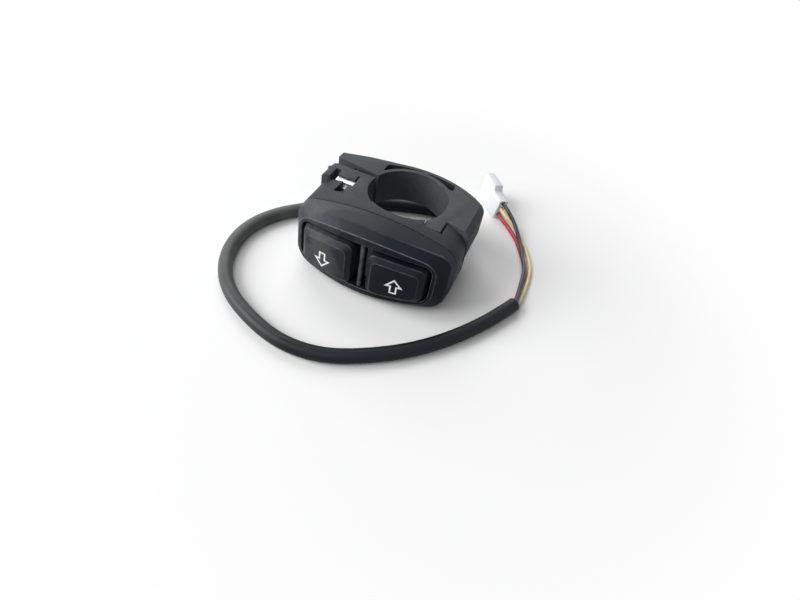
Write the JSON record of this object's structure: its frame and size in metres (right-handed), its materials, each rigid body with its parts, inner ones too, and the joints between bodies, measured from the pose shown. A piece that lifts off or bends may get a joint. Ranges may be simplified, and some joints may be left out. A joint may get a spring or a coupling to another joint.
{
  "type": "handlebar push button switch",
  "caption": "Black two-button switch box with outlined up and down arrows, a hinged bar clamp and a short lead ending in a white plug.",
  "frame": {"origin": "on the bar's axis at half the clamp's height", "axes": "+Z along the bar, away from the floor; +Y from the buttons to the clamp's back; +X along the row of buttons, to the hinge side"},
  "size_m": [0.0815, 0.0939, 0.0223],
  "materials": {
    "case_plastic": "fine grain moulded black plastic",
    "clamp_plastic": "fine grain moulded black plastic",
    "button_plastic": "satin moulded black plastic with a printed arrow",
    "zinc_steel": "bright zinc plated steel",
    "plunger_plastic": "natural nylon",
    "switch_plastic": "black thermoplastic",
    "silicone": "grey silicone",
    "board": "green solder resist",
    "grommet_rubber": "soft black rubber",
    "tie_nylon": "natural nylon",
    "inner_cores": "core insulation",
    "sheath_vinyl": "satin black vinyl",
    "core_black_vinyl": "satin black vinyl",
    "core_yellow_vinyl": "satin cream yellow vinyl",
    "core_red_vinyl": "satin red vinyl",
    "plug_nylon": "white nylon",
    "contact_brass": "tinned brass"
  },
  "bodies": {
    "case": {"front_bezel": "case_plastic", "housing": "case_plastic", "clamp_block": "clamp_plastic", "hinge_pin": "zinc_steel", "clamp_nut": "zinc_steel", "switch_base_down": "switch_plastic", "switch_base_up": "switch_plastic", "seal_mat": "silicone", "circuit_board": "board", "board_screws": "zinc_steel", "case_screws": "zinc_steel", "cable_grommet": "grommet_rubber", "cord_tie": "tie_nylon", "inner_leads": "inner_cores", "cable_sheath": "sheath_vinyl", "core_black": "core_black_vinyl", "core_yellow": "core_yellow_vinyl", "core_red": "core_red_vinyl", "plug_housing": "plug_nylon", "plug_contacts": "contact_brass"},
    "button_down": {"down_button": "button_plastic", "plunger_down": "plunger_plastic"},
    "button_up": {"up_button": "button_plastic", "plunger_up": "plunger_plastic"},
    "jaw": {"rear_clamp": "clamp_plastic"},
    "washer": {"screw_washer": "zinc_steel"},
    "screw": {"clamp_screw": "zinc_steel"}
  },
  "joints": [
    {"name": "down_press", "type": "slide", "parent": "case", "child": "button_down", "axis": [0, 1, 0], "range_m": [0, 0.0006], "stiffness_N_per_m": 2500, "springref_m": -0.0003},
    {"name": "up_press", "type": "slide", "parent": "case", "child": "button_up", "axis": [0, 1, 0], "range_m": [0, 0.0006], "stiffness_N_per_m": 2500, "springref_m": -0.0003},
    {"name": "screw_feed", "type": "slide", "parent": "case", "child": "washer", "axis": [0, -1, 0], "range_m": [-0.00074, 0.0015]},
    {"name": "screw_turn", "type": "hinge", "parent": "washer", "child": "screw", "pos_m": [-0.0174, 0.0083, 0.0016], "axis": [0, -1, 0], "range_deg": [-533, 1080]},
    {"name": "jaw_hinge", "type": "hinge", "parent": "case", "child": "jaw", "pos_m": [0.011, -0.0086, 0], "axis": [0, 0, 1], "range_deg": [-1.5, 3.05]}
  ],
  "couplings": [
    {"joint": "screw_turn", "follows": "screw_feed", "rad_per_m": 12566},
    {"joint": "jaw_hinge", "follows": "screw_feed", "rad_per_m": 35.088}
  ]
}
